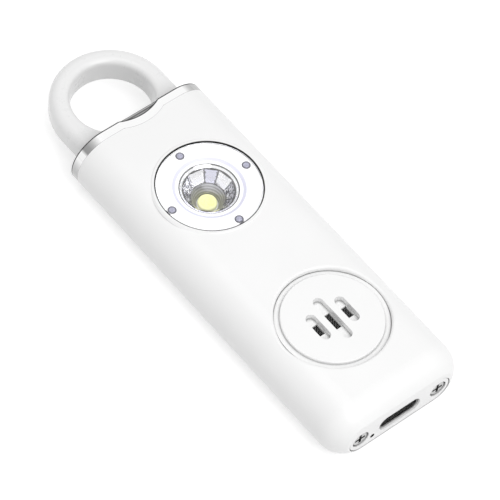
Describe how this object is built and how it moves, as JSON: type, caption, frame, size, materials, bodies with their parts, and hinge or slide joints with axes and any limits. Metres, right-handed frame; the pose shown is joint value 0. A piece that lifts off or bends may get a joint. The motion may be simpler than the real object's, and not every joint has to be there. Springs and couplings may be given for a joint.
{
  "type": "personal safety alarm",
  "caption": "Slim pocket alarm with a pull ring that sets it off, a round lamp and a round push button on the front, and a charging socket in the end.",
  "frame": {"origin": "middle of the alarm's length and width, ring included, on the back face that it lies on", "axes": "+Z out of the front, where the lamp and button are; +Y along the body towards the pull ring; +X to the right as the front is seen with the ring at the top"},
  "size_m": [0.029, 0.0918, 0.0127],
  "materials": {
    "sleeve_white": "satin, fine moulded surface",
    "button_white": "satin",
    "ring_white": "satin",
    "plate_white": "satin",
    "trim_chrome": "polished plating",
    "cap_grey": "satin, dark metallic",
    "seal_dark": "matt",
    "window_clear": "polished, clear acrylic",
    "lamp_white": "matt, translucent",
    "stake_grey": "satin",
    "reflector_metal": "vacuum plated",
    "emitter_white": "matt",
    "phosphor_yellow": "satin silicone",
    "board_green": "coated laminate",
    "chassis_grey": "moulded",
    "chip_black": "moulded",
    "screw_steel": "nickel plated",
    "socket_steel": "drawn, nickel plated",
    "tongue_black": "moulded",
    "mesh_black": "fine woven",
    "silicone_grey": "matt",
    "disc_brass": "rolled",
    "ceramic_white": "fired, silvered",
    "battery_foil": "satin foil",
    "foam_black": "foam",
    "wire_red": "insulation",
    "flex_amber": "film",
    "light_pipe_clear": "clear acrylic"
  },
  "bodies": {
    "alarm_body": {"housing_sleeve": "sleeve_white", "trim_band": "trim_chrome", "top_cap": "cap_grey", "ring_leg_seals": "seal_dark", "lamp_window": "window_clear", "lamp_gasket": "seal_dark", "lamp_base": "lamp_white", "lamp_stakes": "stake_grey", "reflector": "reflector_metal", "led_emitter": "emitter_white", "led_phosphor": "phosphor_yellow", "lamp_board": "board_green", "chassis": "chassis_grey", "end_plate": "plate_white", "end_screws": "screw_steel", "main_board": "board_green", "board_screws": "screw_steel", "cap_screws": "screw_steel", "usb_socket_shell": "socket_steel", "usb_socket_tongue": "tongue_black", "controller_chip": "chip_black", "charger_chip": "chip_black", "siren_coil": "chip_black", "indicator_led": "emitter_white", "indicator_light_pipe": "light_pipe_clear", "siren_cup": "chip_black", "siren_disc": "disc_brass", "siren_ceramic": "ceramic_white", "siren_leads": "wire_red", "button_return_pad": "silicone_grey", "button_carrier": "chassis_grey", "tact_switch_body": "chip_black", "trigger_switch_body": "chip_black", "battery_cell": "battery_foil", "battery_pad": "foam_black", "battery_protection_board": "board_green", "battery_leads": "wire_red", "link_flex": "flex_amber"},
    "ring": {"pull_ring": "ring_white"},
    "button": {"button_cap": "button_white", "dust_mesh": "mesh_black"},
    "press_stem": {"tact_switch_stem": "stake_grey"},
    "trigger_pin": {"trigger_plunger": "stake_grey"}
  },
  "joints": [
    {"name": "ring_pull", "type": "slide", "parent": "alarm_body", "child": "ring", "axis": [0, 1, 0], "range_m": [0, 0.013]},
    {"name": "button_press", "type": "slide", "parent": "alarm_body", "child": "button", "axis": [0, 0, -1], "range_m": [0, 0.0004], "stiffness_N_per_m": 3000, "springref_m": -0.0002, "deforming": ["button_return_pad"]},
    {"name": "tact_press", "type": "slide", "parent": "alarm_body", "child": "press_stem", "axis": [0, 0, -1], "range_m": [0, 0.0004]},
    {"name": "trigger_release", "type": "slide", "parent": "alarm_body", "child": "trigger_pin", "axis": [0, 1, 0], "range_m": [0, 0.0008]}
  ],
  "couplings": [
    {"joint": "tact_press", "follows": "button_press", "ratio": 1},
    {"joint": "trigger_release", "follows": "ring_pull", "ratio": 0.06}
  ]
}
